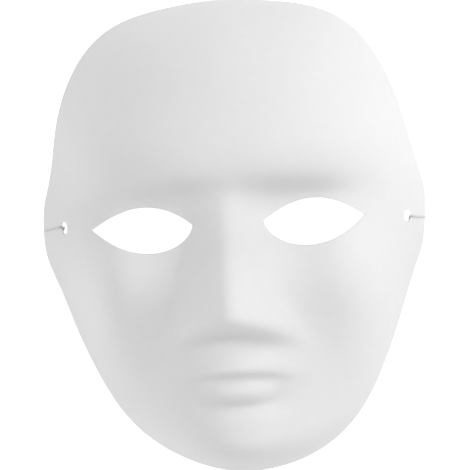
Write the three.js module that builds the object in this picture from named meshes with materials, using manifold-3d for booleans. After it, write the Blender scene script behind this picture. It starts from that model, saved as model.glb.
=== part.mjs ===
// A blank full-face mask of moulded papier-mache, as sold for painting, lying face up on its rim.
// Millimetres. X runs across the face, Y up the face to the crown, Z out of the face.
// The origin is on the surface that the rim rests on, under the middle of the mask's outline.
// Forms on the face are placed by their height above the ear line, the line through the two cord holes.
import * as THREE from "three";
import { mergeVertices } from "three/addons/utils/BufferGeometryUtils.js";
import Module from "manifold-3d";

// Driving dimensions
const wall = 1.8;
const earLine = 8; // the ear line's height above the middle of the outline
const domeDepth = 61; // from the rim's plane to the skin at the ear line, without the forms
// The rim's distance from the middle of the ear line, at even turns from the crown to the chin.
// It is trimmed by hand, so the two sides of the face differ a little.
const rimReach = {
  left: [97, 98, 100.2, 95.7, 88.1, 83.6, 85.5, 83.5, 85, 91.7, 101.8, 109.3, 113],
  right: [97, 98.2, 100.7, 95.8, 88.5, 84.9, 85.8, 83.5, 84.2, 90.9, 102, 110.4, 113],
};
// How boxy the dome is towards the crown, upper corner, side, lower corner and chin.
const domeFullness = [4.02, 2.63, 2.26, 4.05, 8];

// Soft swellings and hollows: place, half widths and rise. Those off the middle are mirrored.
const swellings = [
  { name: "forehead", x: 0, y: 33.1, halfX: 72.5, halfY: 16, rise: 7.8 },
  { name: "temple", x: 60.3, y: 33.6, halfX: 27.1, halfY: 24.2, rise: 9 },
  { name: "cheekbone", x: 55.4, y: -30.2, halfX: 19.2, halfY: 23, rise: 14 },
  { name: "under the eye", x: 46.5, y: -14.4, halfX: 16.8, halfY: 18.8, rise: 8.2 },
  { name: "cheek hollow", x: 37.3, y: -56, halfX: 22.8, halfY: 36.7, rise: -11.1 },
  { name: "jaw", x: 51.6, y: -81, halfX: 20.2, halfY: 19.6, rise: -10.2 },
  { name: "muzzle", x: 0, y: -59.3, halfX: 26.5, halfY: 9.7, rise: 6.5 },
  { name: "chin", x: 0, y: -97.4, halfX: 32.1, halfY: 11.1, rise: 15.5 },
];
const brow = {
  y: 20.4,
  droop: 0.083,
  soft: 4.87,
  depth: 12.1,
  halfX: 57.3,
  tail: 0.16, // this share of the step is softer, and lies lower
  tailSoft: 9.7,
  shallower: 1.96, // over the nose's bridge, within the half width that follows
  bridge: 12.1,
};
const socketFloor = { y: -4.4, soft: 11.38 };
const nose = {
  rootY: 20.3,
  rootSoft: 5.71,
  tipY: -37.9,
  rootRise: 5.28,
  tipRise: 27.82,
  riseCurve: 1.39,
  rootHalfX: 14.5,
  tipHalfX: 23,
  widthCurve: 2.08,
  ridgeAside: 0.35, // the ridge stands this far to the right
  ridgeRound: 0.243,
  footRound: 0.111,
  undersideSoft: 5,
  wingDrop: 0.31,
  spread: 2.41, // how many half widths out the nose's foot dies away
};
// Each fold of the mouth steps the skin in or out below its line, over a half width of the face.
const mouthFolds = [
  { name: "closed lips", y: -59.4, rise: -4.48, soft: 1.5, halfX: 22.1, bow: -0.007 },
  { name: "lower lip", y: -65.4, rise: 4.53, soft: 1.83, halfX: 14.6, bow: 0 },
  { name: "under the lip", y: -72.4, rise: -3.23, soft: 1.78, halfX: 16.6, bow: 0.005 },
  { name: "chin front", y: -77.7, rise: 4.15, soft: 3.18, halfX: 20.8, bow: 0.002 },
];
const foldFade = 22;
const middleRound = 5; // rounds what would be a crease where two mirrored slopes meet
const formsFade = 6; // the forms die away towards the rim with this power of the reach

// The eye openings are cut by hand, so they differ a little. Lids: rise, and powers at the corners.
const eyes = [
  {
    side: -1,
    inner: { x: 14.2, y: 3.5 },
    outer: { x: 58.9, y: 2.4 },
    upperLid: { rise: 8.4, inner: 1.04, outer: 1.16 },
    lowerLid: { rise: -10.8, inner: 0.63, outer: 1 },
  },
  {
    side: 1,
    inner: { x: 15.6, y: 3.5 },
    outer: { x: 57.7, y: 2 },
    upperLid: { rise: 8.5, inner: 1.08, outer: 1.01 },
    lowerLid: { rise: -10.9, inner: 0.58, outer: 0.82 },
  },
];
// The cord holes are punched by hand, so one lies higher and further in than the other. The strand
// runs a little above or below the hole's middle.
const cordHoles = [
  { side: -1, x: 72.6, y: 2.5, strandAbove: 0.4 },
  { side: 1, x: 76.4, y: -1.8, strandAbove: -0.35 },
];
const cordHoleRadius = 2.75;
// The tied strand drops this much towards the chin for each millimetre down the wall.
const strandDrop = 0.14;
// The rim is relieved where the strand passes under it, so that it doesn't lift the mask.
const earRelief = { halfY: 15, height: 1.8 };

const cordRadius = 0.5;
const gap = 0.4;
const facetSag = 0.25; // how far the facets of the inner skin may lie from the true wall
const wallBulge = 0.1; // how far the wall at an ear bows out halfway down
const knotRadius = 1.8;
const knotLength = 2.1;
// Up the wall from the relieved edge, inside the skin, and slid towards the chin.
const knotPlace = { fromEdge: 5.5, out: -4.8, slid: 3.5 };

// The free cord from the left knot to the right one: it comes down to the surface inside the mask
// and lies loosely along the inside of the forehead.
const cordRoute = [
  [-78.4, 7.7, 4.2],
  [-78.5, 9.8, 3.2],
  [-78.2, 12.2, 2],
  [-77.6, 15, 1],
  [-76.4, 19, 0.6],
  [-73.2, 26.6, 0.6],
  [-69.2, 36, 0.6],
  [-64.6, 47, 0.6],
  [-60.2, 58, 0.6],
  [-52.4, 68, 0.6],
  [-41.5, 77, 0.6],
  [-28.5, 84, 0.6],
  [-14, 88, 0.6],
  [1, 88.8, 0.6],
  [16, 86.6, 0.6],
  [30.5, 82.6, 0.6],
  [44, 76.8, 0.6],
  [55, 67.6, 0.6],
  [61.6, 56, 0.6],
  [65.4, 45, 0.6],
  [69.4, 34, 0.6],
  [73, 26, 0.6],
  [76.2, 19.6, 0.6],
  [77.7, 15.2, 0.7],
  [78.5, 11.8, 1.2],
  [78.9, 8.8, 2.2],
  [78.9, 6, 3.5],
  [78.7, 3.6, 4.3],
];

// How fine the facets are
const outerRings = 40;
const outerSpokes = 56;
const innerRings = 22;
const innerSpokes = 40;
const lidSteps = 18;
const strandSides = 8;
const stepsPerSpan = 2; // from one point of a strand's way to the next

const wasm = await Module();
wasm.setup();

// A cosine series through values at even turns from the crown, 0, to the chin, pi.
function seriesThrough(values) {
  const last = values.length - 1;
  const halved = (k) => (k === 0 || k === last ? 0.5 : 1);
  const weights = values.map((_, k) => {
    const sum = values.reduce((s, v, j) => s + halved(j) * v * Math.cos((Math.PI * j * k) / last), 0);
    return ((2 * halved(k)) / last) * sum;
  });
  return (turn) => weights.reduce((s, w, k) => s + w * Math.cos(k * turn), 0);
}

const rimOnLeft = seriesThrough(rimReach.left);
const rimOnRight = seriesThrough(rimReach.right);
const rimAt = (x, turn) => (x < 0 ? rimOnLeft(turn) : rimOnRight(turn));
const fullnessAt = seriesThrough(domeFullness);
const stepUp = (t) => 0.5 * (1 + Math.tanh(t));
const bell = (t) => Math.exp(-t * t);

function swellingsRise(x, y) {
  return swellings.reduce((sum, s) => {
    const across = bell((x - s.x) / s.halfX) + (s.x > 0 ? bell((x + s.x) / s.halfX) : 0);
    return sum + s.rise * across * bell((y - s.y) / s.halfY);
  }, 0);
}

// The eye sockets lie back under a straight brow, by a step and a softer one that lies lower, and
// rise again to the cheeks.
function socketRise(x, y) {
  const depth = brow.depth * Math.exp(-((x / brow.halfX) ** 4)) - brow.shallower * bell(x / brow.bridge);
  const below = brow.y - brow.droop * Math.hypot(x, middleRound) - y;
  const tail = brow.tail * stepUp(below / brow.tailSoft - 1);
  const under = (1 - brow.tail) * stepUp(below / brow.soft) + tail;
  return -depth * under * stepUp((y - socketFloor.y) / socketFloor.soft);
}

// The nose is a roof with a rounded ridge, wider and higher towards its tip, undercut below it.
function noseRise(x, y) {
  const down = Math.min(Math.max((nose.rootY - y) / (nose.rootY - nose.tipY), 0), 1.3);
  const rise = nose.rootRise + (nose.tipRise - nose.rootRise) * down ** nose.riseCurve;
  const halfX = nose.rootHalfX + (nose.tipHalfX - nose.rootHalfX) * down ** nose.widthCurve;
  const aside = nose.ridgeAside * bell(x / halfX);
  const off = Math.hypot((x - aside) / halfX, nose.ridgeRound) - nose.ridgeRound;
  const farFoot = 0.5 * (Math.hypot(2, nose.footRound) - 2) * Math.min(off / 3, 1);
  const roof = Math.max(0.5 * (1 - off + Math.hypot(1 - off, nose.footRound)) - farFoot, 0);
  const root = stepUp((nose.rootY - y) / nose.rootSoft);
  const lowerEdge = nose.tipY - nose.wingDrop * Math.hypot(x, middleRound);
  const beside = Math.exp(-((x / (nose.spread * halfX)) ** 4));
  return rise * roof * root * stepUp((y - lowerEdge) / nose.undersideSoft) * beside;
}

function mouthRise(x, y) {
  return mouthFolds.reduce((sum, f) => {
    const below = f.y + f.bow * x * x - y;
    const fade = Math.exp(-((x / f.halfX) ** 4)) * bell(Math.max(f.y - y, 0) / foldFade);
    return sum + f.rise * stepUp(below / f.soft) * fade;
  }, 0);
}

// The outer skin's height above the rim's plane. y is from the ear line.
function skinHeight(x, y) {
  const turn = Math.atan2(Math.abs(x), y);
  const reach = Math.hypot(x, y) / rimAt(x, turn);
  const dome = domeDepth * (1 - reach ** fullnessAt(turn));
  const forms = swellingsRise(x, y) + socketRise(x, y) + noseRise(x, y) + mouthRise(x, y);
  return dome + forms * Math.max(1 - reach ** formsFade, 0);
}

// The skin's outward direction, from its rise over 2 mm each way.
function skinNormal(x, y) {
  const d = 2;
  const across = (skinHeight(x + d, y) - skinHeight(x - d, y)) / (2 * d);
  const up = (skinHeight(x, y + d) - skinHeight(x, y - d)) / (2 * d);
  return new THREE.Vector3(-across, -up, 1).normalize();
}

// The point of the skin over x, y, moved out by a distance, in the mask's frame.
function skinPoint(x, y, out) {
  const point = new THREE.Vector3(x, y, skinHeight(x, y));
  if (out !== 0) point.addScaledVector(skinNormal(x, y), out);
  point.y += earLine;
  return point;
}

function toSolid(geometry) {
  geometry.deleteAttribute("normal");
  geometry.deleteAttribute("uv");
  const merged = mergeVertices(geometry, 1e-4);
  const vertProperties = merged.attributes.position.array;
  const triVerts = new Uint32Array(merged.index.array);
  return new wasm.Manifold(new wasm.Mesh({ numProp: 3, vertProperties, triVerts }));
}

function toGeometry(solid) {
  const mesh = solid.getMesh();
  const geometry = new THREE.BufferGeometry();
  geometry.setAttribute("position", new THREE.BufferAttribute(mesh.vertProperties, 3));
  geometry.setIndex(new THREE.BufferAttribute(mesh.triVerts, 1));
  return geometry;
}

// The body under a skin: rings from the middle to the rim, closed below at the floor's height.
// Rings lie closer towards the rim, where the skin is steepest.
function bodyUnderSkin(rings, spokes, out, floor) {
  const positions = [...skinPoint(0, 0, out).toArray()];
  const faces = [];
  const at = (ring, spoke) => 1 + (ring - 1) * spokes + (spoke % spokes);
  for (let ring = 1; ring <= rings; ring += 1) {
    const t = ring / rings;
    const reach = 1.13 * t - 0.13 * t ** 6;
    for (let spoke = 0; spoke < spokes; spoke += 1) {
      const turn = (2 * Math.PI * spoke) / spokes;
      const r = reach * rimAt(Math.sin(turn), turn);
      positions.push(...skinPoint(r * Math.sin(turn), r * Math.cos(turn), out).toArray());
    }
  }
  const rimStart = 3 * at(rings, 0);
  const rim = positions.slice(rimStart, rimStart + 3 * spokes);
  let lowest = rings;
  if (floor < 0) {
    lowest += 1;
    for (let spoke = 0; spoke < spokes; spoke += 1) positions.push(rim[3 * spoke], rim[3 * spoke + 1], floor);
  }
  const bottom = positions.length / 3;
  positions.push(0, earLine, floor);
  for (let spoke = 0; spoke < spokes; spoke += 1) {
    faces.push(0, at(1, spoke + 1), at(1, spoke));
    faces.push(bottom, at(lowest, spoke), at(lowest, spoke + 1));
    for (let ring = 1; ring < lowest; ring += 1) {
      const quad = [at(ring, spoke), at(ring, spoke + 1), at(ring + 1, spoke + 1), at(ring + 1, spoke)];
      faces.push(quad[0], quad[1], quad[2], quad[0], quad[2], quad[3]);
    }
  }
  const geometry = new THREE.BufferGeometry();
  geometry.setAttribute("position", new THREE.Float32BufferAttribute(positions, 3));
  geometry.setIndex(faces);
  return toSolid(geometry);
}

// A lid's height over the line between the eye's corners, at a share of the way out from the inner one.
function lidRise(lid, share) {
  const top = lid.inner / (lid.inner + lid.outer);
  return lid.rise * (share / top) ** lid.inner * ((1 - share) / (1 - top)) ** lid.outer;
}

function eyeOpening(eye) {
  const at = (lid, share) => {
    const x = eye.inner.x + (eye.outer.x - eye.inner.x) * share;
    const y = eye.inner.y + (eye.outer.y - eye.inner.y) * share + earLine;
    return new THREE.Vector2(eye.side * x, y + lidRise(lid, share));
  };
  // Steps gather at the corners, where the lids turn most.
  const share = (i) => 0.5 - 0.5 * Math.cos((Math.PI * i) / lidSteps);
  const shares = Array.from({ length: lidSteps + 1 }, (_, i) => share(i));
  const over = shares.map((s) => at(eye.upperLid, s));
  const under = shares.slice(1, -1).map((s) => at(eye.lowerLid, s));
  const shape = new THREE.Shape([...over, ...under.reverse()]);
  const [below, above] = [15, 95]; // clear of the lids on both faces of the wall
  const geometry = new THREE.ExtrudeGeometry(shape, { depth: above - below, bevelEnabled: false });
  geometry.translate(0, 0, below);
  return toSolid(geometry);
}

// The wall at an ear: its length from the cord hole's middle to the relieved edge, the way down it
// and the way out of it, with x counted outwards on either side of the face.
function wallAtEar(hole) {
  const heightAt = (x) => skinHeight(hole.side * x, hole.y);
  const middle = new THREE.Vector3(hole.x, hole.y + earLine, heightAt(hole.x));
  let edgeX = hole.x;
  while (heightAt(edgeX) > earRelief.height) edgeX += 0.01;
  const down = new THREE.Vector3(edgeX - middle.x, 0, earRelief.height - middle.z);
  const length = down.length();
  down.normalize();
  const out = new THREE.Vector3(-down.z, 0, down.x);
  return { side: hole.side, strandAbove: hole.strandAbove, middle, length, down, out };
}
const ears = cordHoles.map(wallAtEar);

// How far the strand has dropped towards the chin at a distance down the wall.
const dropAt = (along) => strandDrop * Math.max(along - cordHoleRadius, 0);

// The strand's way by the wall: a distance down it from the cord hole, one out of the skin, and one
// more towards the chin.
function byEar(ear, along, out, towardsChin = 0) {
  const point = ear.middle.clone().addScaledVector(ear.down, along).addScaledVector(ear.out, out);
  point.x *= ear.side;
  point.y += ear.strandAbove - dropAt(along) - towardsChin;
  return point;
}

// The hole is punched from the front, so it is upright, and round where it meets the sloping skin.
function cordOpening(ear) {
  const length = 16; // past both faces of the wall
  const geometry = new THREE.CylinderGeometry(cordHoleRadius, cordHoleRadius, length, 20);
  geometry.rotateX(Math.PI / 2);
  geometry.scale(ear.out.z, 1, 1);
  geometry.translate(ear.side * ear.middle.x, ear.middle.y, ear.middle.z);
  return toSolid(geometry);
}

function reliefUnderEar(ear) {
  const steps = 12;
  const arch = Array.from({ length: steps + 1 }, (_, i) => {
    const y = earRelief.halfY * ((2 * i) / steps - 1);
    const height = 0.5 * earRelief.height * (1 + Math.cos((Math.PI * y) / earRelief.halfY));
    return new THREE.Vector2(y, Math.max(height, 0));
  });
  const below = [1, -1].map((end) => new THREE.Vector2(end * earRelief.halfY, -1));
  const shape = new THREE.Shape([...arch, ...below]);
  const [inner, outer] = [70, 92]; // from inside the hollow to beyond the rim
  const geometry = new THREE.ExtrudeGeometry(shape, { depth: outer - inner, bevelEnabled: false });
  // The shape's own x becomes Y and its y becomes Z, and it runs along X.
  geometry.applyMatrix4(new THREE.Matrix4().makeBasis(
    new THREE.Vector3(0, 1, 0), new THREE.Vector3(0, 0, 1), new THREE.Vector3(1, 0, 0)));
  geometry.translate(ear.side > 0 ? inner : -outer, ear.middle.y - dropAt(ear.length), 0);
  return toSolid(geometry);
}

function maskShell() {
  const below = -5; // the hollow's body runs out through the rim's plane
  let shell = bodyUnderSkin(outerRings, outerSpokes, 0, 0);
  shell = shell.subtract(bodyUnderSkin(innerRings, innerSpokes, -wall, below));
  const cuts = [...eyes.map(eyeOpening), ...ears.map(cordOpening), ...ears.map(reliefUnderEar)];
  for (const cut of cuts) shell = shell.subtract(cut);
  return toGeometry(shell);
}

// A smooth curve whose steps are shared evenly between its points, so that they gather at its bends.
class EvenSpans extends THREE.CatmullRomCurve3 {
  getPointAt(share, target) {
    return this.getPoint(share, target);
  }

  getTangentAt(share, target) {
    return this.getTangent(share, target);
  }
}

function strand(points) {
  const corners = Array.from({ length: strandSides }, (_, i) => {
    const turn = (2 * Math.PI * i) / strandSides;
    return new THREE.Vector2(cordRadius * Math.cos(turn), cordRadius * Math.sin(turn));
  });
  const extrudePath = new EvenSpans(points, false, "centripetal");
  const steps = stepsPerSpan * (points.length - 1);
  return new THREE.ExtrudeGeometry(new THREE.Shape(corners), { steps, extrudePath });
}

// The cord tied through the hole and round the edge: over the outer skin, under the relieved rim and
// back up inside to its knot. Each point is along the wall, out of the skin and towards the chin, and
// the corners of the hole and of the rim are passed on arcs as wide as the cord's distance from the wall.
function tiedLoop(ear) {
  const over = cordRadius + gap;
  const inside = -wall - facetSag;
  const under = inside - over;
  const diagonal = over * Math.SQRT1_2;
  const knotAlong = ear.length - knotPlace.fromEdge;
  // The rim is cut level and the hole upright, so both lean against the wall by its own slope.
  const innerCorner = ear.length + (inside * ear.out.z) / ear.out.x;
  const innerHole = cordHoleRadius - (inside * ear.out.x) / ear.out.z;
  const path = [
    [knotAlong + 0.9, knotPlace.out, knotPlace.slid],
    [innerCorner - 2, under - 0.4, 1.2],
    [innerCorner, under],
    [innerCorner + over * ear.out.x, inside - over * ear.out.z],
    [ear.length + over * ear.out.x, -over * ear.out.z],
    [ear.length + over, 0],
    [ear.length + diagonal, diagonal],
    [ear.length, over],
    [ear.length / 2, over + wallBulge],
    [cordHoleRadius, over],
    [cordHoleRadius - diagonal, diagonal],
    [cordHoleRadius - over, 0],
    [cordHoleRadius - over * ear.out.z, -over * ear.out.x],
    [innerHole - over * ear.out.z, inside - over * ear.out.x],
    [innerHole + 0.2, under - 0.1, 0.6],
    [knotAlong - 0.9, knotPlace.out, knotPlace.slid],
  ];
  const loop = toSolid(strand(path.map((place) => byEar(ear, ...place))));
  const knot = new THREE.SphereGeometry(knotRadius, 12, 8);
  knot.scale(1, 1, knotLength / knotRadius);
  const middle = byEar(ear, knotAlong, knotPlace.out, knotPlace.slid);
  knot.translate(middle.x, middle.y, middle.z);
  return toGeometry(loop.add(toSolid(knot)));
}

function freeCord() {
  return strand(cordRoute.map(([x, y, z]) => new THREE.Vector3(x, y, z)));
}

const papierMache = new THREE.MeshStandardMaterial({ color: 0xe9e9e8, roughness: 0.92, metalness: 0 });
const elastic = new THREE.MeshStandardMaterial({ color: 0xdadad8, roughness: 0.8, metalness: 0 });

const mask = new THREE.Group();
function addPiece(name, geometry, material) {
  const mesh = new THREE.Mesh(geometry, material);
  mesh.name = name;
  mask.add(mesh);
}
addPiece("mask_shell", maskShell(), papierMache);
addPiece("elastic_loop_left", tiedLoop(ears[0]), elastic);
addPiece("elastic_loop_right", tiedLoop(ears[1]), elastic);
addPiece("elastic_cord", freeCord(), elastic);

export default mask;
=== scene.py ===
# %% [markdown]
# # A blank papier-mache mask
#
# The mask is one thin shell of moulded paper pulp with two eye openings, and a length of thin round
# elastic is tied through a small hole at each ear. A photograph shows it almost straight from the
# front, so here it lies face up on its rim and the camera looks down on it. The CAD model already
# holds every size. This script gives the same shapes their smooth surfaces and their finish.
# Forms are worked out in millimetres, across (x), up the face (y) and out of it (z).

# %% Load the fixed frame
import math
from types import SimpleNamespace

import bmesh
import bpy
import numpy as np
from mathutils import Matrix, Vector


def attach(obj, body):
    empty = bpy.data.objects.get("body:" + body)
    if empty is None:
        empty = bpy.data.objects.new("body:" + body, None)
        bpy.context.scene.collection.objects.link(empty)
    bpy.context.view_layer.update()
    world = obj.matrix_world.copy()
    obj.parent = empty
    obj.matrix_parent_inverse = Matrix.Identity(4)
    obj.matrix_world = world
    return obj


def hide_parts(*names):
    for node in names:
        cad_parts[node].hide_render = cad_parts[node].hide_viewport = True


MM = 0.001
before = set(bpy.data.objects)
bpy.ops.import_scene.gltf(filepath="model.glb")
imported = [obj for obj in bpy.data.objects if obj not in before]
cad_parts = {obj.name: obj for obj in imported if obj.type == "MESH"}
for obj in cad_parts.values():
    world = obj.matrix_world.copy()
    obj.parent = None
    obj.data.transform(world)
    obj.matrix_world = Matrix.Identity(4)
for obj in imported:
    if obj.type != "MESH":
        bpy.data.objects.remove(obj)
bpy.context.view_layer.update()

# %% [markdown]
# ## Small helpers
#
# Colours are picked as sRGB hex values, the way a colour chart gives them, but a renderer adds up
# light, so one function turns them linear. One more function adds a shader node, so that each
# material below reads as a list of nodes with their settings and what they are linked to.

# %% Colour and node helpers


def linear(hex_colour):
    """An sRGB hex colour as linear red, green, blue and alpha, by the sRGB curve."""
    shares = [int(hex_colour[i : i + 2], 16) / 255 for i in (1, 3, 5)]
    curve = [s / 12.92 if s <= 0.04045 else ((s + 0.055) / 1.055) ** 2.4 for s in shares]
    return (*curve, 1.0)


def add(tree, kind, inputs=(), **settings):
    """Adds a node. An input that is another node's output is linked, and any other is set."""
    node = tree.nodes.new(kind)
    for name, value in settings.items():
        setattr(node, name, value)
    for name, value in dict(inputs).items():
        if isinstance(value, bpy.types.NodeSocket):
            tree.links.new(value, node.inputs[name])
        else:
            node.inputs[name].default_value = value
    return node


def per_mm(size):
    """The texture scale at which a pattern repeats about every size millimetres."""
    return 1 / (size * MM)


print("the grey #808080 gives back", round(linear("#808080")[0], 3), "of the light")

# %% [markdown]
# ## Camera
#
# The photograph was taken with a long lens from about a metre, a little from the mask's left and
# below, and the mask is turned slightly clockwise in it. A real camera is set up by where it stands
# and where it points, so the three angles and the lens are named, and the camera's axes follow.

# %% Camera
EAR_LINE = 8.0  # from cord hole to cord hole, this far above the middle of the outline
CAMERA_DISTANCE = 1000.0  # from the middle of the ear line
YAW, PITCH, ROLL = (math.radians(a) for a in (3.404, 4.988, 3.891))
PICTURE = 470  # pixels a side
PICTURE_MIDDLE = (PICTURE - 1) / 2
FOCAL_PIXELS = 2262.9
EAR_MIDDLE_PIXEL = (232.913, 219.074)  # where the point under the ear line's middle is seen
SENSOR = 36.0


def turned(angle, first, second):
    """A rotation by an angle in the plane of two of the three axes: cosines on the diagonal, and
    the sine off it, once with each sign."""
    matrix = np.eye(3)
    matrix[first, first] = matrix[second, second] = math.cos(angle)
    matrix[second, first] = math.sin(angle)
    matrix[first, second] = -math.sin(angle)
    return matrix


to_camera = turned(ROLL, 0, 1) @ turned(PITCH, 1, 2) @ turned(YAW, 0, 2)
off_middle = PICTURE_MIDDLE - np.array(EAR_MIDDLE_PIXEL)
aim = np.array([off_middle[0], -off_middle[1], -FOCAL_PIXELS]) / FOCAL_PIXELS
back = -to_camera.T @ aim
back /= np.linalg.norm(back)
right = np.cross(to_camera.T[:, 1], back)
right /= np.linalg.norm(right)
up = np.cross(back, right)
place = (to_camera.T[:, 2] * CAMERA_DISTANCE + [0, EAR_LINE, 0]) * MM

camera_data = bpy.data.cameras.new("camera")
camera_data.sensor_width = SENSOR
camera_data.lens = SENSOR * FOCAL_PIXELS / PICTURE
camera = bpy.data.objects.new("camera", camera_data)
bpy.context.scene.collection.objects.link(camera)
axes = Matrix(np.column_stack([right, up, back])).to_4x4()
camera.matrix_world = Matrix.Translation(place) @ axes
bpy.context.scene.camera = camera
print("camera at", np.round(place, 3), "metres, lens", round(camera_data.lens, 1), "mm")

# %% [markdown]
# ## The face as a formula
#
# A mould for such a mask is carved once, and pulp is pressed over it. The carving here is one
# height for each point of the face: a dome that falls to the rim, plus soft swellings, a brow that
# steps down into the eye sockets, a nose like a roof, and four folds for the mouth. A formula keeps
# it smooth at any number of faces, and the same sizes are in the CAD model.

# %% The outline and the dome
DOME_DEPTH = 61
# how far the rim is from the middle of the ear line, every 15 degrees from the crown to the chin
RIM_LEFT = (97, 98, 100.2, 95.7, 88.1, 83.6, 85.5, 83.5, 85, 91.7, 101.8, 109.3, 113)
RIM_RIGHT = (97, 98.2, 100.7, 95.8, 88.5, 84.9, 85.8, 83.5, 84.2, 90.9, 102, 110.4, 113)
DOME_FULLNESS = (4.02, 2.63, 2.26, 4.05, 8)  # every 45 degrees


def series_through(values, turn):
    """A cosine series through values at even turns, from 0 at the crown to pi at the chin."""
    last = len(values) - 1
    k = np.arange(last + 1)
    halved = np.where((k == 0) | (k == last), 0.5, 1.0)
    sums = np.cos(np.pi * np.outer(k, k) / last) @ (halved * np.array(values))
    return np.cos(np.asarray(turn)[..., None] * k) @ (2 / last * halved * sums)


def rim_reach(side, turn):
    """The rim's distance from the middle of the ear line, at the left (-1) or right (1) ear's side:
    the cosine series through that side's values."""
    left, right = (series_through(values, turn) for values in (RIM_LEFT, RIM_RIGHT))
    return np.where(np.asarray(side) < 0, left, right)


def reach_of(x, y):
    """How far out a point is, 0 at the middle of the ear line and 1 at the rim: its distance from
    there over the rim's in the same direction."""
    return np.hypot(x, y) / rim_reach(np.sign(x), np.arctan2(np.abs(x), y))


def dome(x, y):
    """The depth times one less the reach to a power that sets how boxy the dome is on that side."""
    fullness = series_through(DOME_FULLNESS, np.arctan2(np.abs(x), y))
    return DOME_DEPTH * (1 - reach_of(x, y) ** fullness)


for side in (-1, 1):
    reach = rim_reach(side, np.array([0, np.pi / 2, np.pi]))
    print("rim at the crown, ear and chin:", reach.round(1), "mm")

# %% [markdown]
# Wide, soft bells make the forehead, temples, cheekbones, jaw and chin, and smooth steps cut in
# the brow and the folds of the mouth. Each form has a place, a size and a softness, matched to
# where the light falls off in the photograph. The same could be sculpted by eye, but a number is
# easier to correct than a dent.

# %% The forms of the face
SWELLINGS = (  # place x, y, half widths x, y, and rise; those off the middle are mirrored
    (0, 33.1, 72.5, 16, 7.8),  # forehead
    (60.3, 33.6, 27.1, 24.2, 9),  # temple
    (55.4, -30.2, 19.2, 23, 14),  # cheekbone
    (46.5, -14.4, 16.8, 18.8, 8.2),  # under the eye
    (37.3, -56, 22.8, 36.7, -11.1),  # cheek hollow
    (51.6, -81, 20.2, 19.6, -10.2),  # jaw
    (0, -59.3, 26.5, 9.7, 6.5),  # muzzle
    (0, -97.4, 32.1, 11.1, 15.5),  # chin
)
BROW_Y, BROW_DROOP, BROW_SOFT, BROW_DEPTH, BROW_HALF_X = 20.4, 0.083, 4.87, 12.1, 57.3
BROW_TAIL, BROW_TAIL_SOFT = 0.16, 9.7  # this share of the step is softer, and lies lower
BRIDGE_SHALLOWER, BRIDGE_HALF_X = 1.96, 12.1
SOCKET_FLOOR_Y, SOCKET_FLOOR_SOFT = -4.4, 11.38
NOSE_ROOT_Y, NOSE_ROOT_SOFT, NOSE_TIP_Y = 20.3, 5.71, -37.9
NOSE_RISE, NOSE_RISE_CURVE = (5.28, 27.82), 1.39
NOSE_HALF_X, NOSE_WIDTH_CURVE = (14.5, 23), 2.08
RIDGE_ASIDE = 0.35  # the ridge stands this far to the right, as on any hand-carved mould
NOSE_RUN_ON = 1.3  # in lengths of the nose: the roof goes on past the tip, where its end cuts it
RIDGE_ROUND, FOOT_ROUND, UNDERSIDE_SOFT, WING_DROP, NOSE_SPREAD = 0.243, 0.111, 5, 0.31, 2.41
MOUTH_FOLDS = (  # y, rise, softness, half width and bow
    (-59.4, -4.48, 1.5, 22.1, -0.007),  # closed lips
    (-65.4, 4.53, 1.83, 14.6, 0),  # lower lip
    (-72.4, -3.23, 1.78, 16.6, 0.005),  # under the lip
    (-77.7, 4.15, 3.18, 20.8, 0.002),  # front of the chin
)
FOLD_FADE = 22
MIDDLE_ROUND = 5
FORMS_FADE = 6


def step_up(t):
    """A smooth step from 0 to 1, half a hyperbolic tangent."""
    return 0.5 * (1 + np.tanh(t))


def bell(t):
    """A smooth bump of height 1, the exponential of minus the square."""
    return np.exp(-t * t)


def swellings(x, y):
    """The sum of bells, each a product of one across and one up the face."""
    mx, my, half_x, half_y, rise = (np.array(v, float) for v in zip(*SWELLINGS))
    xs, ys = np.asarray(x, float)[..., None], np.asarray(y, float)[..., None]
    across = bell((xs - mx) / half_x) + np.where(mx > 0, bell((xs + mx) / half_x), 0)
    return (rise * across * bell((ys - my) / half_y)).sum(-1)


def socket(x, y):
    """The sockets drop below the brow's line by a smooth step and a softer one that lies lower, and
    a third one ends them below."""
    depth = BROW_DEPTH * np.exp(-((x / BROW_HALF_X) ** 4))
    depth = depth - BRIDGE_SHALLOWER * bell(x / BRIDGE_HALF_X)
    below = BROW_Y - BROW_DROOP * np.hypot(x, MIDDLE_ROUND) - y
    steep = (1 - BROW_TAIL) * step_up(below / BROW_SOFT)
    tail = BROW_TAIL * step_up(below / BROW_TAIL_SOFT - 1)
    return -depth * (steep + tail) * step_up((y - SOCKET_FLOOR_Y) / SOCKET_FLOOR_SOFT)


def nose(x, y):
    """A roof whose height and width grow with a power of the way down to the tip. Hyperbolas round
    its ridge and its foot, and the little that the foot's one leaves far out is taken off."""
    down = np.clip((NOSE_ROOT_Y - y) / (NOSE_ROOT_Y - NOSE_TIP_Y), 0, NOSE_RUN_ON)
    rise = NOSE_RISE[0] + (NOSE_RISE[1] - NOSE_RISE[0]) * down**NOSE_RISE_CURVE
    half = NOSE_HALF_X[0] + (NOSE_HALF_X[1] - NOSE_HALF_X[0]) * down**NOSE_WIDTH_CURVE
    off = np.hypot((x - RIDGE_ASIDE * bell(x / half)) / half, RIDGE_ROUND) - RIDGE_ROUND
    far_foot = 0.5 * (math.hypot(2, FOOT_ROUND) - 2) * np.clip(off / 3, 0, 1)
    roof = np.clip(0.5 * (1 - off + np.hypot(1 - off, FOOT_ROUND)) - far_foot, 0, None)
    lower_edge = NOSE_TIP_Y - WING_DROP * np.hypot(x, MIDDLE_ROUND)
    ends = step_up((NOSE_ROOT_Y - y) / NOSE_ROOT_SOFT) * step_up((y - lower_edge) / UNDERSIDE_SOFT)
    return rise * roof * ends * np.exp(-((x / (NOSE_SPREAD * half)) ** 4))


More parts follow.
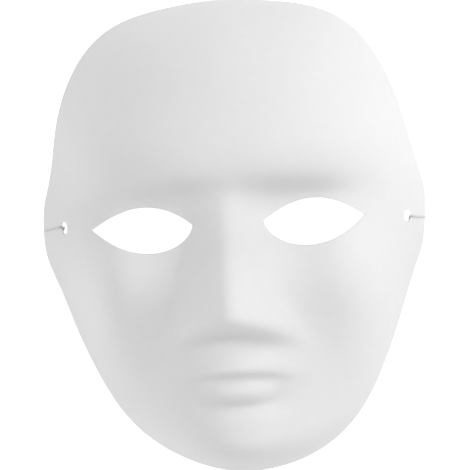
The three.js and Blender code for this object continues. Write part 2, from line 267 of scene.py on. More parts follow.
def mouth(x, y):
    """Four smooth steps, in and out, each bowed and fading to the sides and down the chin."""
    rise = 0 * x
    for fold_y, fold_rise, soft, half_x, bow in MOUTH_FOLDS:
        fade = np.exp(-((x / half_x) ** 4)) * bell(np.clip(fold_y - y, 0, None) / FOLD_FADE)
        rise = rise + fold_rise * step_up((fold_y + bow * x * x - y) / soft) * fade
    return rise


# %% [markdown]
# Pulp never dries quite true, so three long, very shallow waves are added. They rise 0.05 mm, which
# nobody would see as a shape, but the light picks them up and the skin stops looking turned.

# %% The skin
WAVES = ((23, 0.3, 0.05), (31, 1.9, 0.05), (17, 2.6, 0.03))  # length, direction in radians, rise


def unevenness(x, y):
    """The sum of plane sine waves, each bent a little so that no pattern shows."""
    total = 0 * x
    for length, direction, rise in WAVES:
        along = x * math.cos(direction) + y * math.sin(direction)
        across = y * math.cos(direction) - x * math.sin(direction)
        total = total + rise * np.sin(2 * np.pi * (along + 4 * np.sin(across / length)) / length)
    return total


def skin(x, y):
    """Height of the outer skin: the dome and the forms, which die away towards the rim."""
    forms = swellings(x, y) + socket(x, y) + nose(x, y) + mouth(x, y) + unevenness(x, y)
    return dome(x, y) + forms * np.clip(1 - reach_of(x, y) ** FORMS_FADE, 0, None)


def outward(x, y, over=2.0):
    """The skin's outward direction, square to its rise over 2 mm each way."""
    across = (skin(x + over, y) - skin(x - over, y)) / (2 * over)
    up_face = (skin(x, y + over) - skin(x, y - over)) / (2 * over)
    normal = np.stack([-across, -up_face, np.ones_like(across)], -1)
    return normal / np.linalg.norm(normal, axis=-1, keepdims=True)


tip_of_nose = skin(np.zeros(60), np.linspace(-50, -20, 60)).max()
print("nose's tip stands", round(float(tip_of_nose), 1), "mm over the rim's plane")

# %% [markdown]
# ## The elastic
#
# The elastic is 1 mm round cord with a braided cover. It is tied in a loop through each cord hole
# and round the edge, and between the two knots it lies loosely on the table inside the mask, where
# the mask hides it. A tube is a ring carried along the path, which closes neatly at both ends.

# %% Rings along a path
CORD_RADIUS = 0.5
CORD_SIDES = 16


def smooth_path(points, steps):
    """A curve through the points, cut into even steps of length. It is a cubic from each point to
    the next, and its slope at a point is that of the line between the two beside it."""
    p = np.array(points, float)
    p = np.vstack([2 * p[0] - p[1], p, 2 * p[-1] - p[-2]])
    t = np.linspace(0, len(points) - 1, 40 * len(points))
    i = np.minimum(t.astype(int), len(points) - 2)
    u = (t - i)[:, None]
    a, b, c, d = p[i], p[i + 1], p[i + 2], p[i + 3]
    bent = 2 * b + (c - a) * u + (2 * a - 5 * b + 4 * c - d) * u**2
    fine = 0.5 * (bent + (3 * b - a - 3 * c + d) * u**3)
    run = np.concatenate([[0], np.cumsum(np.linalg.norm(np.diff(fine, axis=0), axis=1))])
    even = np.linspace(0, run[-1], steps + 1)
    return np.stack([np.interp(even, run, fine[:, k]) for k in range(3)], -1), run[-1]


def carried_ring(path, side_axis, closed):
    """Ring points at each step: the path, plus the radius times cosine along a side direction and
    sine along the one square to it. The side direction is the tangent crossed with a fixed axis."""
    if closed:
        tangent = np.roll(path, -1, 0) - np.roll(path, 1, 0)
    else:
        tangent = np.gradient(path, axis=0)
    tangent /= np.linalg.norm(tangent, axis=1, keepdims=True)
    side = np.cross(tangent, side_axis)
    side /= np.linalg.norm(side, axis=1, keepdims=True)
    over = np.cross(side, tangent)
    turn = np.linspace(0, 2 * np.pi, CORD_SIDES, endpoint=False)[:, None]
    ring = np.cos(turn) * side[:, None] + np.sin(turn) * over[:, None]
    return path[:, None] + CORD_RADIUS * ring


def grid_quads(rows, columns, first=0, around=False, over=False):
    """Corner numbers of a grid's quads, counted row by row. Around joins the last column to the
    first, and over joins the last row to the first."""
    r = np.arange(rows if over else rows - 1)[:, None]
    c = np.arange(columns if around else columns - 1)[None]
    r2, c2 = (r + 1) % rows, (c + 1) % columns
    corners = [r * columns + c, r * columns + c2, r2 * columns + c2, r2 * columns + c]
    numbers = np.stack([np.broadcast_to(k, (r.size, c.size)) for k in corners], -1)
    return first + numbers.reshape(-1, 4)


print("a ring has", CORD_SIDES, "points on a radius of", CORD_RADIUS, "mm")

# %% [markdown]
# Every piece below ends as a list of points and a list of faces, so one function makes the mesh. It
# joins points that meet at a seam, turns all faces outwards and shades them smooth. The points also
# keep up to three numbers, such as the way along the cord, which the materials read later.

# %% Mesh from points and faces


def make_piece(name, points, faces, mark_name, marks, merge=0.0):
    """A mesh object from points in millimetres, with y from the ear line, and lists of corners. The
    marks are three numbers at each point, and points closer than merge are joined."""
    mesh = bpy.data.meshes.new(name)
    placed = (np.asarray(points, float) + [0, EAR_LINE, 0]) * MM
    mesh.from_pydata(placed.tolist(), [], faces)
    attribute = mesh.attributes.new(mark_name, "FLOAT_VECTOR", "POINT")
    attribute.data.foreach_set("vector", np.asarray(marks, np.float32).ravel())
    form = bmesh.new()
    form.from_mesh(mesh)
    if merge:
        bmesh.ops.remove_doubles(form, verts=form.verts, dist=merge * MM)
    bmesh.ops.recalc_face_normals(form, faces=form.faces)
    form.to_mesh(mesh)
    form.free()
    mesh.polygons.foreach_set("use_smooth", [True] * len(mesh.polygons))
    piece = bpy.data.objects.new(name, mesh)
    bpy.context.scene.collection.objects.link(piece)
    return piece


def tube_mesh(paths):
    """Points, faces and marks of several tubes. Each is a grid of rings with a flat cap at either
    end, or, where the path is closed, a ring of rings. The marks are the cosine and sine of the
    turn round the cord and the millimetres along it."""
    points, faces, marks = [], [], []
    turn = np.linspace(0, 2 * np.pi, CORD_SIDES, endpoint=False)
    for path, side_axis, closed in paths:
        rings = carried_ring(path, side_axis, closed)
        first = sum(len(p) for p in points)
        rows = len(path)
        faces += grid_quads(rows, CORD_SIDES, first, around=True, over=closed).tolist()
        if not closed:
            faces += [list(range(first, first + CORD_SIDES))]
            faces += [list(range(first + (rows - 1) * CORD_SIDES, first + rows * CORD_SIDES))]
        points.append(rings.reshape(-1, 3))
        step = np.linalg.norm(np.diff(path, axis=0, prepend=path[:1]), axis=1)
        along = np.repeat(np.cumsum(step), CORD_SIDES)
        around = np.tile(turn, rows)
        marks.append(np.stack([np.cos(around), np.sin(around), along], -1))
    return np.vstack(points), faces, np.vstack(marks)


sample = tube_mesh([(np.linspace([0, 0, 0], [10, 0, 0], 3), (0, 0, 1), False)])
print("a short sample of cord has", len(sample[0]), "points and", len(sample[1]), "faces")

# %% [markdown]
# The free run of the elastic goes from knot to knot. It comes down to the table at each ear and
# lies in one loose bow inside the forehead, where it can't be seen from the front. Its length is
# that of the elastic on such masks. A simulation could drop it there, but a route through given
# points stays the same as in the CAD model.

# %% Free cord
CORD_STEPS = 420
CORD_ROUTE = (  # metres, as in the CAD model
    (-0.0784, 0.0077, 0.0042),
    (-0.0785, 0.0098, 0.0032),
    (-0.0782, 0.0122, 0.002),
    (-0.0776, 0.015, 0.001),
    (-0.0764, 0.019, 0.0006),
    (-0.0732, 0.0266, 0.0006),
    (-0.0692, 0.036, 0.0006),
    (-0.0646, 0.047, 0.0006),
    (-0.0602, 0.058, 0.0006),
    (-0.0524, 0.068, 0.0006),
    (-0.0415, 0.077, 0.0006),
    (-0.0285, 0.084, 0.0006),
    (-0.014, 0.088, 0.0006),
    (0.001, 0.0888, 0.0006),
    (0.016, 0.0866, 0.0006),
    (0.0305, 0.0826, 0.0006),
    (0.044, 0.0768, 0.0006),
    (0.055, 0.0676, 0.0006),
    (0.0616, 0.056, 0.0006),
    (0.0654, 0.045, 0.0006),
    (0.0694, 0.034, 0.0006),
    (0.073, 0.026, 0.0006),
    (0.0762, 0.0196, 0.0006),
    (0.0777, 0.0152, 0.0007),
    (0.0785, 0.0118, 0.0012),
    (0.0789, 0.0088, 0.0022),
    (0.0789, 0.006, 0.0035),
    (0.0787, 0.0036, 0.0043),
)
route_mm = np.array(CORD_ROUTE) / MM - [0, EAR_LINE, 0]
cord_path, cord_length = smooth_path(route_mm, CORD_STEPS)
points, faces, marks = tube_mesh([(cord_path, (0, 0, 1), False)])
cord = make_piece("elastic_cord_braided", points, faces, "round_and_along", marks)
print("free cord:", round(cord_length, 1), "mm between the knots")

# %% [markdown]
# The loop at each ear runs over the outer skin from the hole to the edge, round the edge, back up
# inside and out through the hole again. Its path is drawn in a plane that cuts the wall at the ear,
# by how far a point is down the wall and how far out of it. The knot is a real overhand knot, whose
# centreline is the trefoil curve, with a short cut tail.

# %% The wall at each ear
WALL = 1.8
CORD_HOLES = (  # name, side, place, and how far above its middle the strand runs
    ("left", -1, 72.6, 2.5, 0.4),
    ("right", 1, 76.4, -1.8, -0.35),
)
HOLE_RADIUS = 2.75
STRAND_DROP = 0.14  # the strand drops this much towards the chin for each millimetre down the wall
RELIEF_HALF_Y, RELIEF_HEIGHT = 15.0, 1.8  # the rim rises this much over the strand


def drop_at(along):
    """How far the strand has dropped towards the chin: in proportion to its way past the hole."""
    return STRAND_DROP * np.clip(along - HOLE_RADIUS, 0, None)


def wall_at_ear(name, side, x, y, strand_above):
    """The wall from the cord hole's middle to the relieved edge: its length, and the directions
    down it and out of it, with x counted outwards on either side of the face."""
    middle = np.array([x, y, float(skin(side * x, y))])
    across = np.linspace(x, x + 20, 4001)
    edge_x = np.interp(-RELIEF_HEIGHT, -skin(side * across, y), across)
    down = np.array([edge_x - x, 0, RELIEF_HEIGHT - middle[2]])
    length = float(np.linalg.norm(down))
    down /= length
    out = np.array([-down[2], 0, down[0]])
    return SimpleNamespace(
        name=name,
        side=side,
        x=x,
        y=y,
        strand_above=strand_above,
        middle=middle,
        length=length,
        down=down,
        out=out,
        relief_y=y - drop_at(length),
    )


def by_ear(ear, along, out, towards_chin=0.0):
    """The strand's way by the wall: a distance down it from the cord hole, one out of the skin, and
    one more towards the chin."""
    along, out = np.asarray(along, float)[..., None], np.asarray(out, float)[..., None]
    lower = drop_at(along) + np.asarray(towards_chin)[..., None] - ear.strand_above
    point = ear.middle + along * ear.down + out * ear.out - [0, 1, 0] * lower
    return point * [ear.side, 1, 1]


ears = [wall_at_ear(*hole) for hole in CORD_HOLES]
for ear in ears:
    print(ear.name, "wall:", round(ear.length, 1), "mm from the cord hole's middle to the edge")

# %% Loops and knots
KNOT_FROM_EDGE, KNOT_OUT, KNOT_DOWN = 5.5, -4.8, 3.5  # it has slid down, out of the hole's view
KNOT_SIZE = 0.42
BITE = 0.1  # how far the tight strand has cut into the hole's edge
LOOP_STEPS, KNOT_STEPS, TAIL_STEPS = 150, 120, 30


def loop_path(ear):
    """The strand's way from the knot round the edge, over the skin, through the hole and back. It
    is tight, so it has bitten into the pulp at the hole and is pressed into it at the edge."""
    over = CORD_RADIUS
    under = -WALL - over
    diagonal = over * math.sqrt(0.5)
    knot_along = ear.length - KNOT_FROM_EDGE
    inner_corner = ear.length - WALL * ear.out[2] / ear.out[0]
    inner_hole = HOLE_RADIUS + WALL * ear.out[0] / ear.out[2]
    bitten = HOLE_RADIUS + BITE
    way = [  # down the wall, out of the skin, and towards the chin
        (knot_along + 1.1, KNOT_OUT + 0.2, KNOT_DOWN),
        (inner_corner - 2, under - 0.3, 1.2),
        (inner_corner, under, 0),
        (inner_corner + 0.5 * over, -WALL - 0.5 * over, 0),
        (ear.length + 0.5 * over, -1.2 * over, 0),
        (ear.length + 0.1, -0.45, 0),
        (ear.length - 1.2, -0.2, 0),
        (ear.length / 2, over - 0.1, 0),
        (bitten + over, over, 0),
        (bitten + over - diagonal, diagonal, 0),
        (bitten, 0, 0),
        (inner_hole, -WALL, 0),
        (inner_hole + 0.2, under - 0.1, 0.6),
        (knot_along - 1.1, KNOT_OUT + 0.2, KNOT_DOWN),
    ]
    along, out, towards_chin = np.array(way).T
    return smooth_path(by_ear(ear, along, out, towards_chin), LOOP_STEPS)[0]


def knot_path(ear):
    """The trefoil curve: the sine plus twice the sine of the double turn across, the cosine less
    twice the cosine of the double turn along, and the sine of the triple turn out."""
    t = np.linspace(0, 2 * np.pi, KNOT_STEPS, endpoint=False)
    across = KNOT_SIZE * (np.sin(t) + 2 * np.sin(2 * t))
    along = ear.length - KNOT_FROM_EDGE + KNOT_SIZE * (np.cos(t) - 2 * np.cos(2 * t))
    out = KNOT_OUT - 1.3 * KNOT_SIZE * np.sin(3 * t)
    return by_ear(ear, along, out, KNOT_DOWN) + np.stack([0 * t, across, 0 * t], -1)


def tail_path(ear):
    """The cut end: it leaves the knot inwards and hangs a little."""
    knot_along = ear.length - KNOT_FROM_EDGE
    way = [
        (knot_along + 0.2, KNOT_OUT - 0.8, 0.6),
        (knot_along - 0.6, -6.2, 1.6),
        (knot_along - 0.2, -8.2, 3),
    ]
    along, out, towards_chin = np.array(way).T
    return smooth_path(by_ear(ear, along, out, KNOT_DOWN + towards_chin), TAIL_STEPS)[0]


loops = []
for ear in ears:
    tubes = [
        (loop_path(ear), (0, 1, 0), False),
        (knot_path(ear), ear.out * [ear.side, 1, 1], True),
        (tail_path(ear), (0, 0, 1), False),
    ]
    points, faces, marks = tube_mesh(tubes)
    loop = make_piece(f"elastic_loop_{ear.name}_braided", points, faces, "round_and_along", marks)
    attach(loop, "root")
    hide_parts(f"elastic_loop_{ear.name}")
    loops.append(loop)
    print(loop.name, "has", len(loop.data.vertices), "points")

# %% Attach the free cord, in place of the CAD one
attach(cord, "root")
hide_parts("elastic_cord")
print("free cord declared, with", len(loops), "loops on it")

# %% [markdown]
# ## The floor
#
# The photograph's background is pure white, and so is what shows through the eyes. A light table
# does that in a studio: a sheet of white acrylic, lit evenly from below. A white world alone would
# do as well for the background, but then nothing would lie under the mask and catch its shade.

# %% Light table
FLOOR_HALF = 3.0  # metres
FLOOR_GLOW = 0.6

floor_mesh = bpy.data.meshes.new("light_table")
corners = [(sx * FLOOR_HALF, sy * FLOOR_HALF, 0) for sx, sy in ((-1, -1), (1, -1), (1, 1), (-1, 1))]
floor_mesh.from_pydata(corners, [], [(0, 1, 2, 3)])
floor = bpy.data.objects.new("light_table", floor_mesh)
bpy.context.scene.collection.objects.link(floor)
table = bpy.data.materials.new("opal acrylic, lit from below")
table.use_nodes = True
table_shader = table.node_tree.nodes["Principled BSDF"]
table_shader.inputs["Base Color"].default_value = linear("#f4f4f4")
table_shader.inputs["Roughness"].default_value = 0.6  # satin: no reflection of the mask in it
table_shader.inputs["Emission Color"].default_value = linear("#ffffff")
table_shader.inputs["Emission Strength"].default_value = FLOOR_GLOW
floor_mesh.materials.append(table)
print("light table", 2 * FLOOR_HALF, "m a side")

# %% [markdown]
# ## Studio light
#
# The photograph's light is soft and almost even, and stronger from the right: two large softboxes
# there make the right planes of the nose and cheeks bright. One high on the left and a weak low one
# keep the left planes from going dark. The light table lights the edges from below. Each softbox is
# placed by the direction that it comes from, and it always points at the mask.

# %% Softboxes
TARGET = Vector((0, 0, 0.04))  # metres, as the two below
LIGHT_DISTANCE = 1.6
SOFTBOX_SIZE = 1.0
SOFTBOXES = (  # name, azimuth from +X towards +Y, elevation, watts
    ("upper right", 45, 35, 7.27),
    ("right", 0, 35, 9.38),
    ("high left", 180, 62, 10.01),
    ("low left", 225, 12, 2.8),
)
ROOM_LIGHT = 0.25


def softbox(name, azimuth, elevation, watts):
    """A square area light on a sphere round the mask, turned to face it."""
    a, e = math.radians(azimuth), math.radians(elevation)
    direction = Vector((math.cos(a) * math.cos(e), math.sin(a) * math.cos(e), math.sin(e)))
    data = bpy.data.lights.new(name, "AREA")
    data.size = SOFTBOX_SIZE
    data.energy = watts
    light = bpy.data.objects.new(name, data)
    light.location = TARGET + direction * LIGHT_DISTANCE
    light.rotation_euler = direction.to_track_quat("Z", "Y").to_euler()
    bpy.context.scene.collection.objects.link(light)


for values in SOFTBOXES:
    softbox(*values)
world = bpy.data.worlds.new("studio")
world.use_nodes = True
world.node_tree.nodes["Background"].inputs["Color"].default_value = linear("#ffffff")
world.node_tree.nodes["Background"].inputs["Strength"].default_value = ROOM_LIGHT
bpy.context.scene.world = world
bpy.context.scene.view_settings.view_transform = "Standard"
watts_in_all = sum(values[3] for values in SOFTBOXES)
print(len(SOFTBOXES), "softboxes,", round(watts_in_all, 1), "watts in all")

# %% [markdown]
# ## The mask's shell
#
# A height for each point could be meshed on any grid, but a plain grid would leave ragged eye
# openings. So the grid follows the openings: a seam runs from ear to ear along the ear line, splits
# round each cord hole and each eye, and columns run from it to the rim, up to the crown and down to
# the chin. The inner skin lies a wall's thickness behind the outer one.

# %% Stations along the seam
EYES = {  # inner and outer corner, and each lid's rise and powers at the corners; cut by hand
    "left": ((14.2, 3.5), (58.9, 2.4), (8.4, 1.04, 1.16), (-10.8, 0.63, 1)),
    "right": ((15.6, 3.5), (57.7, 2), (8.5, 1.08, 1.01), (-10.9, 0.58, 0.82)),
}
MIDDLE_COLUMNS, EYE_COLUMNS, CHEEK_COLUMNS, HOLE_COLUMNS, EAR_COLUMNS = 9, 60, 14, 14, 10
GATHERED = 0.7  # this share of an eye's columns gathers at its corners, and the rest is even
EDGE_ROUND = 0.5
FALL_OVER = 0.4  # the skin's fall at the rim is measured over this length


def relief(ear, y):
    """The rim's height at an ear, a raised cosine, so that the elastic passes under it."""
    off = np.abs(y - ear.relief_y)
    raised = 0.5 * RELIEF_HEIGHT * (1 + np.cos(np.pi * off / RELIEF_HALF_Y))
    return np.where(off < RELIEF_HALF_Y, raised, 0)


def rim_distance(ear, turn, lift):
    """How far from the middle the skin passes the relief's height plus the lift. Each step moves by
    the height that is still missing over the skin's fall there."""
    sx, sy = ear.side * np.sin(turn), np.cos(turn)
    half_x, half_y = FALL_OVER / 2 * sx, FALL_OVER / 2 * sy
    distance = rim_reach(ear.side, turn)
    for _ in range(6):
        x, y = distance * sx, distance * sy
        fall = skin(x - half_x, y - half_y) - skin(x + half_x, y + half_y)
        distance = distance + (skin(x, y) - relief(ear, y) - lift) * FALL_OVER / fall
    return distance


gathered = 0.5 - 0.5 * np.cos(np.pi * np.arange(EYE_COLUMNS) / EYE_COLUMNS)
eye_share = GATHERED * gathered + (1 - GATHERED) * np.arange(EYE_COLUMNS) / EYE_COLUMNS


def stations_of(ear):
    """Places across the face where the seam's columns start, and the rim's end of the seam."""
    half_x = HOLE_RADIUS * ear.out[2]
    inner_x, outer_x = ear.inner_corner[0], ear.outer_corner[0]
    end = float(rim_distance(ear, np.array([np.pi / 2]), EDGE_ROUND * ear.out[0])[0])
    parts = [
        np.linspace(0, inner_x, MIDDLE_COLUMNS, endpoint=False),
        inner_x + (outer_x - inner_x) * eye_share,
        np.linspace(outer_x, ear.x - half_x, CHEEK_COLUMNS, endpoint=False),
        ear.x - half_x * np.cos(np.pi * np.arange(HOLE_COLUMNS) / HOLE_COLUMNS),
        np.linspace(ear.x + half_x, end, EAR_COLUMNS + 1),
    ]
    return np.concatenate(parts)


for ear in ears:
    ear.inner_corner, ear.outer_corner, ear.upper_lid, ear.lower_lid = EYES[ear.name]
    ear.stations = stations_of(ear)
print(len(ears[0].stations), "stations from the nose to the ear")

# %% [markdown]
# The upper lids and the lower ones are two edges of the same seam, so each side of the mask is
# meshed as an upper and a lower half. A maker cuts a lid along a drawn line. A product of two
# powers gives such a line: steep or soft at either corner, and highest where it should be.

# %% The openings' edges


def opening_edge(ear, lid, hole_sign):
    """Height of the seam's edge: the line between the eye's corners, plus the lid's curve, which is
    a product of powers of the share from either corner, plus half the ellipse of the cord hole."""
    x = ear.stations
    half_x = HOLE_RADIUS * ear.out[2]
    (inner_x, inner_y), (outer_x, outer_y) = ear.inner_corner, ear.outer_corner
    seam_x = [0, inner_x, outer_x, ear.x - half_x, ear.x + half_x, x[-1]]
    seam = np.interp(x, seam_x, [inner_y, inner_y, outer_y, ear.y, ear.y, 0])
    rise, inner_power, outer_power = lid
    share = np.clip((x - inner_x) / (outer_x - inner_x), 0, 1)
    top = inner_power / (inner_power + outer_power)
    lid_rise = rise * (share / top) ** inner_power * ((1 - share) / (1 - top)) ** outer_power
    off = np.clip(1 - ((x - ear.x) / half_x) ** 2, 0, None)
    return seam + lid_rise + hole_sign * HOLE_RADIUS * np.sqrt(off)


for ear in ears:
    upper, lower = opening_edge(ear, ear.upper_lid, 1), opening_edge(ear, ear.lower_lid, -1)
    print(ear.name, "eye is", round(float((upper - lower).max()), 1), "mm high")

# %% Rows and columns
ROWS_UP, ROWS_DOWN = 70, 104
ROWS_GATHERED = 0.13
NEAR_RIM = 0.99  # the reach at which the slope of the rim is read


def rim_turns(ear, start, count):
    """Turns from start, at the crown or the chin, to the ear, at even steps of the rim's length."""
    turn = np.linspace(start, np.pi / 2, 2000)
    reach = rim_reach(ear.side, turn)
    steps = np.hypot(np.diff(reach * np.sin(turn)), np.diff(reach * np.cos(turn)))
    run = np.concatenate([[0], np.cumsum(steps)])
    return np.interp(np.linspace(0, run[-1], count), run, turn)


def half_plan(ear, lid, hole_sign, start, rows):
    """Where the grid's points lie. Columns run from the seam to the rim. They leave the seam
    upright, because they go sideways by the square of their way, so that they never cross the
    openings. Rows gather towards the rim, where the skin is steepest, by a sixth power."""
    stations = ear.stations
    edge = opening_edge(ear, lid, hole_sign)
    turn = rim_turns(ear, start, len(stations))
    near_rim = NEAR_RIM * rim_reach(ear.side, turn)
    level = np.hypot(*outward(ear.side * near_rim * np.sin(turn), near_rim * np.cos(turn)).T[:2])
    distance = rim_distance(ear, turn, EDGE_ROUND * level)  # where the rounding of the rim starts
    end_x, end_y = distance * np.sin(turn), distance * np.cos(turn)
    end_x[-1], end_y[-1] = stations[-1], 0
    v = np.linspace(0, 1, rows + 1)
    way = ((1 + ROWS_GATHERED) * v - ROWS_GATHERED * v**6)[:, None]
    return ear.side * (stations + (end_x - stations) * way**2), edge + (end_y - edge) * way, turn


print("rows from the seam:", ROWS_UP, "up and", ROWS_DOWN, "down")

# %% [markdown]
# The wall is one sheet of pulp, equally thick all over. A modifier could thicken the skin, but it
# would fold over itself behind the nose and tilt the punched holes. So the inner skin is worked out
# for each point, along a direction that changes from upright in the middle to level at the rim.

# %% The wall's thickness
TURNS_SQUARE = (0.74, 0.84)  # the reaches between which the direction turns square to the skin
TURNS_LEVEL = (0.92, 0.98)  # and those between which it turns level
LEAVES_HOLE = (3.2, 7.5)  # distances from a cord hole's middle between which it stops being upright
PULP_SOFT = 2.5  # the inner skin is averaged over this distance each way


def eased(value, start, end):
    """0 before the start, 1 after the end, and a cubic in between that is level at both."""
    share = np.clip((value - start) / (end - start), 0, 1)
    return share * share * (3 - 2 * share)


def thickness_direction(ear, x, y):
    """The direction in which the wall's thickness is laid: upright in the middle and round the cord
    holes, which are punched from the front, square to the skin further out, level at the rim. It is
    divided by its share along the skin's normal, so the wall is as thick everywhere."""
    normal = outward(x, y)
    level = normal * [1, 1, 0]
    level /= np.linalg.norm(level, axis=-1, keepdims=True) + 1e-9
    reach = reach_of(x, y)[..., None]
    from_hole = np.hypot((ear.side * x - ear.x) / ear.out[2], y - ear.y)[..., None]
    away = eased(reach, *TURNS_SQUARE)
    square = away * eased(from_hole, *LEAVES_HOLE)
    flat = eased(reach, *TURNS_LEVEL)
    direction = (1 - square) * np.array([0, 0, 1.0]) + square * ((1 - flat) * normal + flat * level)
    return direction / (direction * normal).sum(-1, keepdims=True), 1 - away[..., 0]


def inner_skin(ear, x, y):
    """The outer skin moved in by the wall. In the middle it is first averaged with its neighbours,
    half and half, because pulp fills sharp corners from behind."""
    direction, upright = thickness_direction(ear, x, y)
    soft = PULP_SOFT
    around = skin(x + soft, y) + skin(x - soft, y) + skin(x, y + soft) + skin(x, y - soft)
    height = skin(x, y) * (1 - upright / 2) + around / 4 * upright / 2
    return np.stack([x, y, height], -1) - WALL * direction


cheek = inner_skin(ears[1], np.array([30.0]), np.array([-25.0]))[0]
print("on the cheek the inner skin stands", round(float(cheek[2]), 1), "mm over the rim's plane")

# %% [markdown]
# Cut pulp never ends in a knife edge, and the light catches a thin line where it is rounded. A
# bevel would do that, but it stumbles where an eye's corners come to a point. So the rounding is
# part of the grid: a strip of points goes round each cut edge, and it dies away at the corners.

# %% Rounded edges
ROUND_STEPS = 4


def edge_strip(near_out, corner_out, corner_in, near_in, rounding):
    """Points from the outer skin round a cut edge to the inner one. Each corner is a quadratic
    curve from the rounding's distance before it to the same distance after it."""
    flat = corner_in - corner_out
    flat = flat / np.linalg.norm(flat, axis=-1, keepdims=True)
    after_out = corner_out + flat * rounding[:, None]
    before_in = corner_in - flat * rounding[:, None]
    t = np.linspace(0, 1, ROUND_STEPS + 1)[:, None, None]
    first = (1 - t) ** 2 * near_out + 2 * t * (1 - t) * corner_out + t**2 * after_out
    second = (1 - t) ** 2 * before_in + 2 * t * (1 - t) * corner_in + t**2 * near_in
    return np.concatenate([first, second])


def moved_towards(corner, following, distance):
    """The point at a distance from the corner towards the row that follows it."""
    way = following - corner
    length = np.linalg.norm(way, axis=-1, keepdims=True)
    return corner + way / np.maximum(length, 1e-9) * np.minimum(distance[:, None], length)


print("a cut edge is", 2 * ROUND_STEPS + 2, "rows of points")

# %% [markdown]
# Each half is five patches: the two skins, the strip round the rim, and the strips round half an
# eye and half a cord hole. Neighbours have the same points along their shared edges, so all the
# patches close into one shell once those points are joined.

# %% Patches of the shell
OPENINGS = (  # first column and number of columns
    (MIDDLE_COLUMNS, EYE_COLUMNS),
    (MIDDLE_COLUMNS + EYE_COLUMNS + CHEEK_COLUMNS, HOLE_COLUMNS),
)
PATCHES = 3 + len(OPENINGS)


def half_shell(ear, lid, hole_sign, start, rows):
    """The patches of a side's upper or lower half: both skins, the rim and the openings' edges."""
    x, y, turn = half_plan(ear, lid, hole_sign, start, rows)
    outer = np.stack([x, y, skin(x, y)], -1)
    inner = inner_skin(ear, x, y)
    distance = rim_distance(ear, turn, 0 * turn)
    rim_x, rim_y = ear.side * distance * np.sin(turn), distance * np.cos(turn)
    rim_out = np.stack([rim_x, rim_y, relief(ear, rim_y)], -1)
    rim_in = inner_skin(ear, rim_x, rim_y)
    rim_in[:, 2] = relief(ear, rim_y)
    rounding = np.full(len(turn), EDGE_ROUND)
    strips = [edge_strip(outer[-1], rim_out, rim_in, inner[-1], rounding)]
    for first, count in OPENINGS:
        span = slice(first, first + count + 1)
        share = np.linspace(-1, 1, count + 1)
        rounding = EDGE_ROUND * (1 - share**8)
        corner_out, corner_in = outer[0, span].copy(), inner[0, span].copy()
        outer[0, span] = moved_towards(corner_out, outer[1, span], rounding)
        inner[0, span] = moved_towards(corner_in, inner[1, span], rounding)
        strips.append(edge_strip(outer[0, span], corner_out, corner_in, inner[0, span], rounding))
    return [outer, inner, *strips]


def inside_of(number, patch):
    """How far inside a patch's points are: 0 on the outer skin, 1 on the inner one, which is every
    half's second patch, and from 0 to 1 across a cut edge."""
    rows, columns = patch.shape[:2]
    if number % PATCHES > 1:
        share = np.linspace(0, 1, rows)
    else:
        share = np.full(rows, float(number % PATCHES))
    return np.repeat(share, columns)


patches = []
for ear in ears:
    patches += half_shell(ear, ear.upper_lid, 1, 0, ROWS_UP)
    patches += half_shell(ear, ear.lower_lid, -1, np.pi, ROWS_DOWN)
print(len(patches), "patches")

# %% One mesh from the patches
SEAM_MERGE = 0.002
counts = np.cumsum([0] + [patch.shape[0] * patch.shape[1] for patch in patches])
faces = np.vstack([grid_quads(*patch.shape[:2], first) for patch, first in zip(patches, counts)])
points = np.vstack([patch.reshape(-1, 3) for patch in patches])
inside = np.concatenate([inside_of(*numbered) for numbered in enumerate(patches)])
marks = np.stack([inside, 0 * inside, 0 * inside], -1)
shell = make_piece("mask_shell_moulded", points, faces.tolist(), "inside", marks, SEAM_MERGE)
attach(shell, "root")
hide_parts("mask_shell")
shell.data.calc_loop_triangles()
print("shell:", len(shell.data.vertices), "points,", len(shell.data.loop_triangles), "triangles")

# %% [markdown]
# ## Papier-mache
#
# The mask is moulded, undecorated paper pulp: matt, off-white and faintly mottled where the pulp
# lay thicker. The outside was pressed smooth against the mould, so its grain is fine. The inside
# dried in the open and shows coarser fibres and a slightly greyer tone.

# %% Papier-mache material
OUTSIDE_TONES = ("#e6e6e6", "#e8e8e8")
INSIDE_TONES = ("#dbdad7", "#e4e3e0")
NOISES = (("mottle", 4, 3.0), ("grain", 0.8, 4.0), ("fibre", 2.2, 6.0))  # name, mm, detail
NOISE_ROUGHNESS = 0.62
RAMP_ENDS = (0.3, 0.7)
GRAIN_DEPTH_MM, FIBRE_DEPTH_MM = 0.05, 0.5  # deeper than real fibres, so that they show


def ramp(tree, factor, low, high):
    """A colour that runs from a low to a high tone over the middle of a noise."""
    node = add(tree, "ShaderNodeValToRGB", {"Fac": factor})
    for element, at, tone in zip(node.color_ramp.elements, RAMP_ENDS, (low, high)):
        element.position = at
        element.color = linear(tone)
    return node.outputs["Color"]


papier = bpy.data.materials.new("papier-mache, moulded pulp")
papier.use_nodes = True
tree = papier.node_tree
shader = tree.nodes["Principled BSDF"]
coordinates = add(tree, "ShaderNodeTexCoord").outputs["Object"]
marks = add(tree, "ShaderNodeAttribute", attribute_name="inside").outputs["Vector"]
inside = add(tree, "ShaderNodeSeparateXYZ", {"Vector": marks}).outputs["X"]
noises = {}
for name, size, detail in NOISES:
    values = {"Vector": coordinates, "Scale": per_mm(size), "Detail": detail}
    values["Roughness"] = NOISE_ROUGHNESS
    noises[name] = add(tree, "ShaderNodeTexNoise", values).outputs["Fac"]
outside_tone = ramp(tree, noises["mottle"], *OUTSIDE_TONES)
inside_tone = ramp(tree, noises["fibre"], *INSIDE_TONES)
values = {0: inside, 6: outside_tone, 7: inside_tone}  # a mix's factor and its two colours
tone = add(tree, "ShaderNodeMix", values, data_type="RGBA").outputs[2]
tree.links.new(tone, shader.inputs["Base Color"])
values = {"Height": noises["grain"], "Strength": 0.35, "Distance": GRAIN_DEPTH_MM * MM}
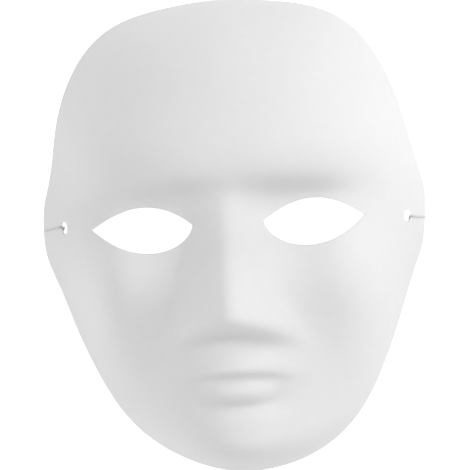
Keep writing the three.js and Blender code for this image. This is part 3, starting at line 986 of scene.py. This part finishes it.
fine = add(tree, "ShaderNodeBump", values).outputs["Normal"]
values = {"Height": noises["fibre"], "Strength": inside, "Distance": FIBRE_DEPTH_MM * MM}
coarse = add(tree, "ShaderNodeBump", {**values, "Normal": fine}).outputs["Normal"]
tree.links.new(coarse, shader.inputs["Normal"])
shader.inputs["Roughness"].default_value = 0.92  # dry pulp spreads light every way
shader.inputs["Specular IOR Level"].default_value = 0.25  # so porous that it hardly shines
shell.data.materials.append(papier)
print(papier.name, "with", len(tree.nodes), "nodes")

# %% [markdown]
# ## Braided elastic
#
# The elastic is a rubber core inside a braid of thin polyester threads, off-white and softly
# shining. The threads wind both ways, so the braid is the higher of two sets of diagonal ribs,
# which are sines of the way along the cord plus or minus the way round it. Single threads are too
# fine to show, so each rib stands for a few of them.

# %% Braided elastic material
RIB_MM, RIBS_ROUND, RIB_HEIGHT_MM = 0.7, 4, 0.03

elastic = bpy.data.materials.new("braided elastic, polyester over rubber")
elastic.use_nodes = True
tree = elastic.node_tree
shader = tree.nodes["Principled BSDF"]
marks = add(tree, "ShaderNodeAttribute", attribute_name="round_and_along").outputs["Vector"]
way = add(tree, "ShaderNodeSeparateXYZ", {"Vector": marks}).outputs
turn = add(tree, "ShaderNodeMath", {0: way["Y"], 1: way["X"]}, operation="ARCTAN2").outputs[0]
ribs = []
for hand in (1, -1):
    values = {0: turn, 1: float(hand * RIBS_ROUND)}
    round_it = add(tree, "ShaderNodeMath", values, operation="MULTIPLY")
    values = {0: way["Z"], 1: 2 * math.pi / RIB_MM, 2: round_it.outputs[0]}
    angle = add(tree, "ShaderNodeMath", values, operation="MULTIPLY_ADD")
    ribs.append(add(tree, "ShaderNodeMath", {0: angle.outputs[0]}, operation="SINE").outputs[0])
braid = add(tree, "ShaderNodeMath", {0: ribs[0], 1: ribs[1]}, operation="MAXIMUM").outputs[0]
values = {"Height": braid, "Strength": 1.0, "Distance": RIB_HEIGHT_MM * MM}
bump = add(tree, "ShaderNodeBump", values).outputs["Normal"]
tree.links.new(bump, shader.inputs["Normal"])
shader.inputs["Base Color"].default_value = linear("#d4d4d3")
shader.inputs["Roughness"].default_value = 0.7  # the sheen of thread, not of a film
for piece in (cord, *loops):
    piece.data.materials.append(elastic)
print(elastic.name, "with", 2 * RIBS_ROUND, "ribs round it")
